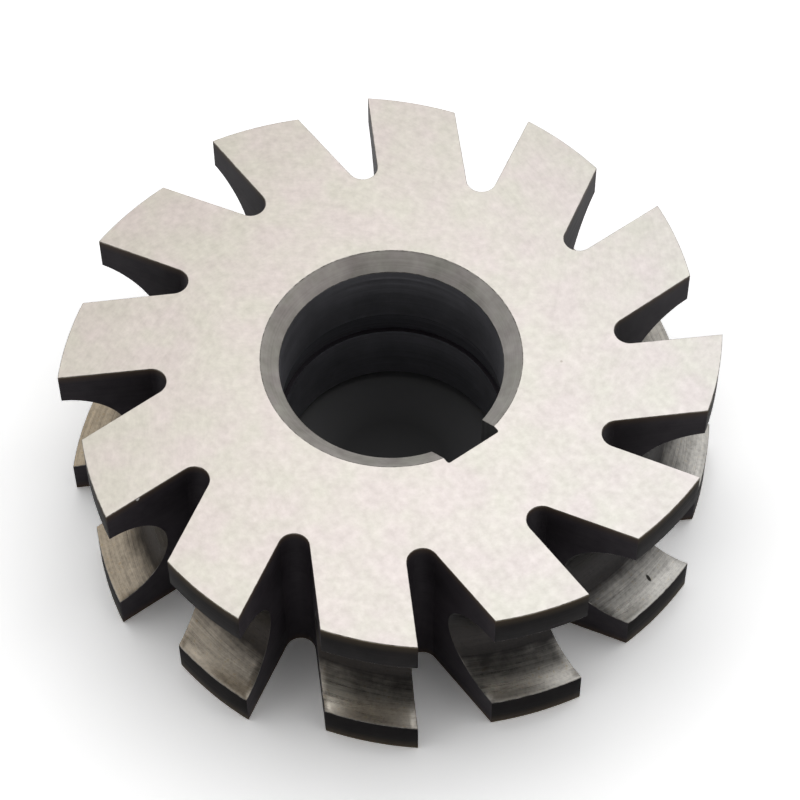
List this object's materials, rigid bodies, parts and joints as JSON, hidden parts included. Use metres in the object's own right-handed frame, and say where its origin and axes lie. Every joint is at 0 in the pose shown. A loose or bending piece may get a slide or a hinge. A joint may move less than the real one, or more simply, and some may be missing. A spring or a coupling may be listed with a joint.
{
  "type": "concave milling cutter",
  "caption": "Form-relieved disc milling cutter with a keyed bore, radial gullets and a half-round concave profile that rounds over the edge of the work.",
  "frame": {"origin": "on the bore's axis, at the bottom face", "axes": "+Z runs along the bore through the width, +X points to the middle of the keyway"},
  "size_m": [0.065, 0.065, 0.02],
  "materials": {
    "ground_steel": "ground"
  },
  "bodies": {
    "root": {"cutter": "ground_steel"}
  },
  "joints": []
}
